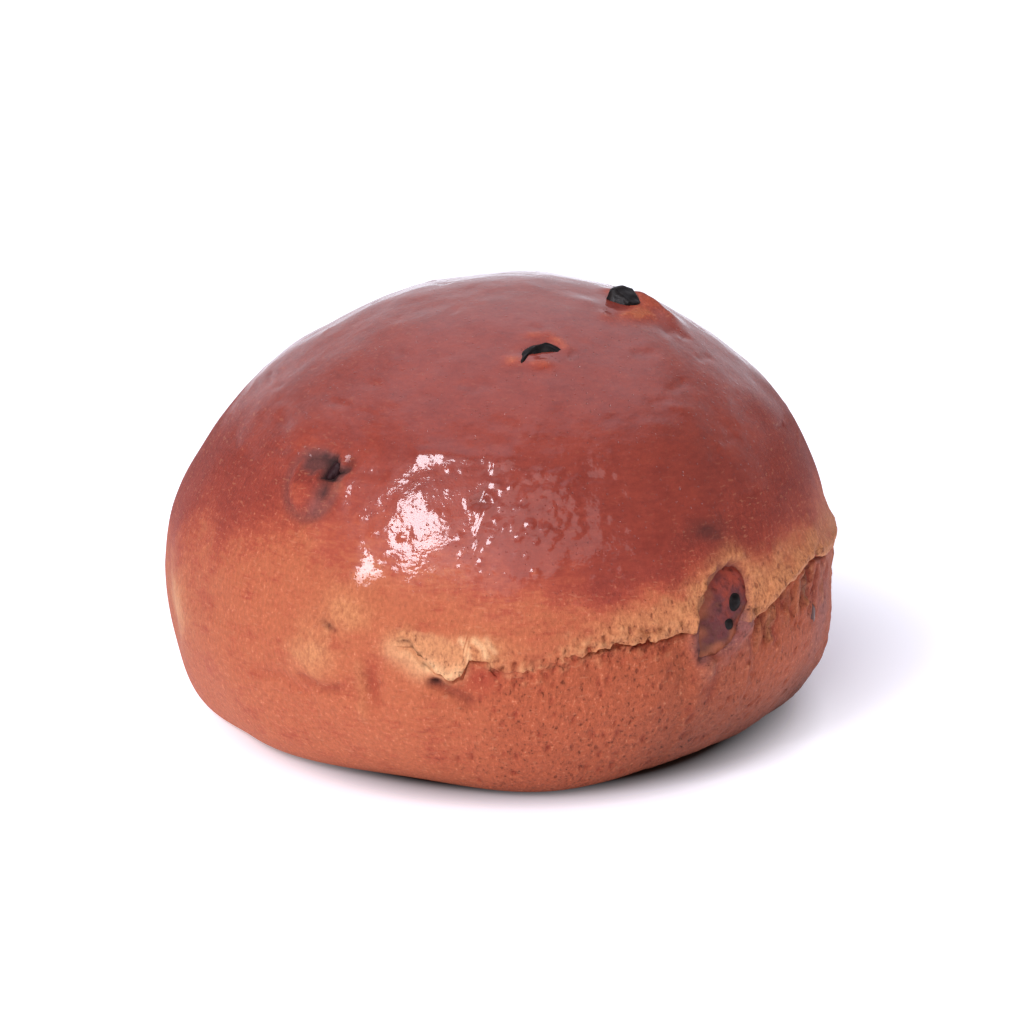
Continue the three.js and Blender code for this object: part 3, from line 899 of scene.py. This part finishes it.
# Chocolate and prune pieces: size across the crust, up it and through it, and how far they stand out
# the dust and shade share turns chocolate dusty, and on prune is painted shade, darkest on the left piece
# deep in its hollow
pieceForms = {
    "chocolateChunkTop": {
        "node": "chocolate_chunk_top", "place": (-9, 61.7), "size": (5.2, 5.4, 4.8), "proud": 1.6,
        "power": 0.8, "facets": chunkFacets, "chipped": 0.2,
    },
    "chocolateSliverTop": {
        "node": "chocolate_sliver_top", "place": (-82.5, 59.5), "size": (8.8, 2.8, 3.2), "proud": 0.7,
        "roll": 16, "bend": 0.16, "facets": sliverFacets, "pointed": (0, 1), "chipped": 0.35,
    },
    "chocolateBitSide": {
        "node": "chocolate_bit_side", "place": (-21.5, 19.2), "size": (2.4, 4, 2.4), "proud": -0.05,
        "dustAndShade": 0.75,
    },
    "chocolateChunkBack": {
        "node": "chocolate_chunk_back", "place": (62, 52), "size": (5.4, 4.6, 4.2), "proud": 1.8,
        "power": 0.8, "facets": chunkFacets, "chipped": 0.2,
    },
    "prunePieceLeft": {
        "node": "prune_piece_left", "place": (-130.4, 45.4), "size": (3.8, 5.2, 3.2), "proud": -1.1,
        "roll": -25, "wrinkle": 0.35, "dustAndShade": 1,
    },
    "prunePieceRight": {
        "node": "prune_piece_right", "place": (-49.9, 26.3), "size": (9.6, 15.4, 6.4), "proud": -0.6,
        "power": 0.75, "roll": -34, "wrinkle": 0.2, "pointed": (0.85, 0), "tilt": (0.12, -0.12),
        "veils": [((-0.85, -0.4), 0.2), ((0.75, -0.6), 0.3)],
        "rimShade": ((-0.55, 0.8), 0.6),
    },
    "prunePieceBack": {
        "node": "prune_piece_back", "place": (128, 37), "size": (5.0, 6.4, 3.6), "proud": 0.1,
        "roll": 20, "wrinkle": 0.25, "dustAndShade": 0.3,
    },
    "chocolateBitUpper": {
        "node": "chocolate_bit_upper", "place": (-48, 25.9), "reach": 7, "shift": (1.0, 1.2),
        "size": (2.6, 3.3, 2.4), "proud": -0.3, "roll": -12,
    },
    "chocolateBitLower": {
        "node": "chocolate_bit_lower", "place": (-48, 25.9), "reach": 7, "shift": (-0.6, -1.5),
        "size": (1.9, 2.0, 2.0), "proud": -0.1, "roll": -14,
    },
}
# What the pieces share, where a form doesn't say otherwise
pieceFinish = {
    "power": 0.88,
    "smallCuts": 5,
    "largeCuts": 6,
    "largeFrom": 10,
    "seedStep": 3.7,
    "chipped": 0.1,
    "chipSize": 1.1,
    "foldSize": 2.6,
    "foldStretch": (1, 1.8, 1),
    "fineFold": 0.4,
    "fineFoldSize": 1.1,
    "veilSway": 0.25,
    "veilSwaySize": 1.6,
    "veilFade": 0.4,
    "rimFade": 0.3,
}


def pieceLump(ball, form, seed):  # the piece about its own middle
    finish = pieceFinish
    lump = np.sign(ball) * np.abs(ball) ** form.get("power", finish["power"])
    if "pointed" in form:  # narrows to points at the lower end, or at both side ends
        below, sides = form["pointed"]
        lump[:, 0] *= 1 - below * (ball[:, 1] < 0) * ball[:, 1] ** 2
        lump[:, 1:] *= (1 - sides * (1 - np.sqrt(np.maximum(0, 1 - ball[:, 0] ** 2))))[:, None]
    for face, cut in form.get("facets", []):
        face = np.array(face) / np.linalg.norm(face)
        lump -= np.maximum(0, lump @ face - cut)[:, None] * face
    points = lump * np.array(form["size"]) / 2
    chips = noiseAt(points, finish["chipSize"], seed=seed)
    points += ball * (form.get("chipped", finish["chipped"]) * chips)[:, None]
    if "wrinkle" in form:
        folds = np.abs(noiseAt(points, finish["foldSize"], finish["foldStretch"], seed))
        folds += finish["fineFold"] * np.abs(noiseAt(points, finish["fineFoldSize"], seed=seed))
        points -= ball * (form["wrinkle"] * (1 - 2 * folds))[:, None]
    points[:, 1] -= form.get("bend", 0) * points[:, 0] ** 2
    return points


def pieceInCrust(points, form):  # rolled, tilted and set into the crust
    roll = math.radians(form.get("roll", 0))
    c, s = math.cos(roll), math.sin(roll)
    x, y = points[:, 0] * c - points[:, 1] * s, points[:, 0] * s + points[:, 1] * c
    across, up, out, centre = crustFrame(*form["place"], form.get("reach", form["size"][1] / 2))
    shift, tilt = form.get("shift", (0, 0)), form.get("tilt", (0, 0))
    z = points[:, 2] + form["proud"] - form["size"][2] / 2 + tilt[0] * x + tilt[1] * y
    return centre + np.outer(x + shift[0], across) + np.outer(y + shift[1], up) + np.outer(z, out)


def pieceLayers(ball, points, form, seed):
    finish = pieceFinish
    veil = np.zeros(len(ball))
    for towards, start in form.get("veils", []):  # films of dough over the sides of the piece
        veilSway = finish["veilSway"] * noiseAt(points, finish["veilSwaySize"], seed=seed)
        toSide = ball[:, :2] @ np.array(towards) + veilSway
        veil = np.maximum(veil, ease((toSide - start) / finish["veilFade"]))
    # the dust and shade share: dust on chocolate, painted shade on prune
    dustAndShade = np.full(len(ball), form.get("dustAndShade", 0.0))
    if "rimShade" in form:  # darker under the overhanging rim of its pocket
        # painted shade under the overhanging rim of its pocket
        towards, start = form["rimShade"]
        dustAndShade = np.maximum(dustAndShade, ease((ball[:, :2] @ np.array(towards) - start) / finish["rimFade"]))
    return {"along": 0.5 + ball[:, 1] / 2, "dustAndShade": dustAndShade, "veil": veil}


def makePiece(name, form):
    cuts = "largeCuts" if form["size"][1] > pieceFinish["largeFrom"] else "smallCuts"
    bm = bmesh.new()
    bmesh.ops.create_icosphere(bm, subdivisions=pieceFinish[cuts], radius=1)
    mesh = bpy.data.meshes.new(name)
    bm.to_mesh(mesh)
    bm.free()
    seed = len(name) * pieceFinish["seedStep"]
    ball = readPoints(mesh)
    points = pieceLump(ball, form, seed)
    shapeMesh(mesh, pieceInCrust(points, form), pieceLayers(ball, points, form, seed))
    return addPiece(mesh, form["node"])


chocolateLook = {
    "dark": (0.004, 0.003, 0.003, 1),
    "bloom": (0.014, 0.01, 0.0095, 1),
    "bloomSpan": (0.42, 0.68),
    "dusted": (0.17, 0.075, 0.062, 1),
    "cloud": {"scale": 0.9, "detail": 4},
    "roughSpan": (0.3, 0.7, 0.3, 0.5),
    "specular": 0.16,
    "bump": 0.1,
}
pruneLook = {
    "flesh": [
        (0.0, (0.17, 0.062, 0.034, 1)),
        (0.45, (0.135, 0.04, 0.041, 1)),
        (1.0, (0.32, 0.058, 0.036, 1)),
    ],
    "cloud": {"scale": 0.5, "detail": 4},
    "cloudSwing": 0.5,
    "fold": (0.03, 0.01, 0.012, 1),
    "folds": {"scale": 1.1, "detail": 3},
    "foldSpan": (0.55, 0.75, 0, 0.7),
    "veil": (0.38, 0.115, 0.058, 1),
    "veilShare": 0.85,
    "skin": {"scale": 1.6, "detail": 3},
    "roughSpan": (0.3, 0.7, 0.42, 0.62),
    "specular": 0.14,
    "bump": 0.15,
}


def chocolateMaterial():
    look = chocolateLook
    material, tree, shader, place = newMaterial("darkChocolate")
    cloud = noiseNode(tree, place, **look["cloud"])
    colour = mixColour(tree, spanNode(tree, cloud, *look["bloomSpan"]), look["dark"], look["bloom"])
    colour = mixColour(tree, readMask(tree, "dustAndShade"), colour, look["dusted"])
    roughness = spanNode(tree, cloud, *look["roughSpan"])
    dressShader(tree, shader, colour, roughness, look["specular"], bumpNode(tree, cloud, look["bump"]))
    return material


def pruneMaterial():
    look = pruneLook
    material, tree, shader, place = newMaterial("pruneFlesh")
    cloud = noiseNode(tree, place, **look["cloud"])
    along = mathNode(tree, "ADD", readMask(tree, "along"), swing(tree, cloud, look["cloudSwing"]))
    colour = rampNode(tree, along, look["flesh"])
    # dark folds, and painted shade from the dust and shade share: the left piece deep in its hollow, the
    # right one under its rim
    folds = spanNode(tree, noiseNode(tree, place, **look["folds"]), *look["foldSpan"])
    folds = mathNode(tree, "ADD", folds, readMask(tree, "dustAndShade"))
    colour = mixColour(tree, folds, colour, look["fold"])
    veil = mathNode(tree, "MULTIPLY", readMask(tree, "veil"), look["veilShare"])
    colour = mixColour(tree, veil, colour, look["veil"])
    roughness = spanNode(tree, cloud, *look["roughSpan"])
    bump = bumpNode(tree, noiseNode(tree, place, **look["skin"]), look["bump"])
    dressShader(tree, shader, colour, roughness, look["specular"], bump)
    return material


fillings = {"prune": pruneMaterial(), "dark_chocolate": chocolateMaterial()}
for name, form in pieceForms.items():
    slot = "prune" if "prune" in name else "dark_chocolate"
    piece = makePiece(name, form)
    piece.data.materials.append(fillings[slot])
print("fillings:", ", ".join(pieceForms))

# Studio: pale floor, soft light, the camera at the photograph's angle
studio = {
    "floorRadius": 6000,
    "floorSides": 96,
    "floorColour": (0.87, 0.885, 0.94, 1),
    "floorRoughness": 0.7,
    "floorSpecular": 0.2,
    # painted contact shadow: the floor colour darkened round the roll's foot
    "contactShadowColour": (0.11, 0.062, 0.045, 1),
    "contactAt": (2.5, -1.5, 0),
    "contactShadowFrom": 33,
    "contactShadowTo": 42,
    # painted light: the floor glows, held back round the foot and dimmed in a painted shadow to the back
    # right
    "floorGlow": 0.62,
    "glowFrom": 33.5,
    "glowTo": 46,
    "shadowAt": (26, 26, 0),
    "shadowFrom": 26,
    "shadowTo": 48,
    "shadowGlow": 0.25,
    "frontSky": (0.26, 0.25, 0.26, 1),
    "backSky": (0.8, 0.76, 0.84, 1),
    "backFrom": 0.3,
    "backTo": 0.95,
    "overheadSky": (1.15, 1.1, 1.25, 1),
    "overheadFrom": 0.78,
    "overheadTo": 0.95,
    "overheadBack": 0.3,
    "lightAim": (0, 0, 30),
    "aim": (1.75, 0, 29.1),
    "cameraAzimuth": -90,
    "cameraAway": 532,
    "cameraRise": 18,
    "lens": 127.5,
    "sensor": 36,
}
studioLights = {
    "softbox": {
        "azimuth": -125.5, "rise": 37.5, "away": 800, "roll": 51, "size": (195, 285), "power": 3.7,
        "colour": (0.96, 0.92, 1),
    },
    "frontPanel": {
        "azimuth": -86, "rise": 33, "away": 900, "roll": 32, "size": (760, 520), "power": 1.6,
        "colour": (1, 0.95, 0.98),
    },
}


def lookFrom(azimuth, rise, away, aim):
    a, r = math.radians(azimuth), math.radians(rise)
    back = Vector((math.cos(a) * math.cos(r), math.sin(a) * math.cos(r), math.sin(r)))
    place = (Vector(aim) + back * away) * mm
    return Matrix.Translation(place) @ back.to_track_quat("Z", "Y").to_matrix().to_4x4()


def addFloor():
    bm = bmesh.new()
    radius = studio["floorRadius"] * mm
    bmesh.ops.create_circle(bm, cap_ends=True, segments=studio["floorSides"], radius=radius)
    mesh = bpy.data.meshes.new("floor")
    bm.to_mesh(mesh)
    bm.free()
    floor = bpy.data.objects.new("floor", mesh)
    bpy.context.scene.collection.objects.link(floor)
    material, tree, shader, place = newMaterial("paleFloor")
    fromContact = distanceNode(tree, place, studio["contactAt"])
    fromShadow = distanceNode(tree, place, studio["shadowAt"])
    # painted light and painted shadow: the floor's glow, none round the foot, dimmed to the back right
    glow = spanNode(tree, fromContact, studio["glowFrom"], studio["glowTo"], 0, studio["floorGlow"])
    lit = spanNode(tree, fromShadow, studio["shadowFrom"], studio["shadowTo"], studio["shadowGlow"], 1)
    # painted contact shadow: dark floor colour round the roll's foot, clearing further out
    clear = spanNode(tree, fromContact, studio["contactShadowFrom"], studio["contactShadowTo"])
    colour = mixColour(tree, clear, studio["contactShadowColour"], studio["floorColour"])
    tree.links.new(colour, shader.inputs["Base Color"])
    shader.inputs["Roughness"].default_value = studio["floorRoughness"]
    shader.inputs["Specular IOR Level"].default_value = studio["floorSpecular"]
    shader.inputs["Emission Color"].default_value = studio["floorColour"]
    tree.links.new(mathNode(tree, "MULTIPLY", glow, lit), shader.inputs["Emission Strength"])
    mesh.materials.append(material)


def addWorld():
    world = bpy.data.worlds.new("studioSky")
    bpy.context.scene.world = world
    world.use_nodes = True
    tree = world.node_tree
    direction = addNode(tree, "ShaderNodeTexCoord").outputs["Generated"]
    heading = addNode(tree, "ShaderNodeSeparateXYZ", {0: direction}).outputs
    behind = spanNode(tree, heading["Y"], studio["backFrom"], studio["backTo"])
    colour = mixColour(tree, behind, studio["frontSky"], studio["backSky"])
    overhead = mathNode(tree, "MULTIPLY_ADD", heading["Y"], studio["overheadBack"], heading["Z"])
    overhead = spanNode(tree, overhead, studio["overheadFrom"], studio["overheadTo"])
    colour = mixColour(tree, overhead, colour, studio["overheadSky"])
    tree.links.new(colour, tree.nodes["Background"].inputs["Color"])


def addLights():
    for name, light in studioLights.items():
        lamp = bpy.data.lights.new(name, "AREA")
        lamp.shape = "RECTANGLE"
        lamp.size, lamp.size_y = (side * mm for side in light["size"])
        lamp.energy = light["power"]
        lamp.color = light["colour"]
        holder = bpy.data.objects.new(name, lamp)
        roll = Matrix.Rotation(math.radians(light["roll"]), 4, "Z")
        view = lookFrom(light["azimuth"], light["rise"], light["away"], studio["lightAim"])
        holder.matrix_world = view @ roll
        bpy.context.scene.collection.objects.link(holder)


def addCamera():
    camera = bpy.data.cameras.new("camera")
    camera.lens = studio["lens"]
    camera.sensor_width = studio["sensor"]
    holder = bpy.data.objects.new("camera", camera)
    view = lookFrom(studio["cameraAzimuth"], studio["cameraRise"], studio["cameraAway"], studio["aim"])
    holder.matrix_world = view
    bpy.context.scene.collection.objects.link(holder)
    bpy.context.scene.camera = holder


addFloor()
addWorld()
addLights()
addCamera()
bpy.context.scene.view_settings.view_transform = "Standard"
print("studio set")
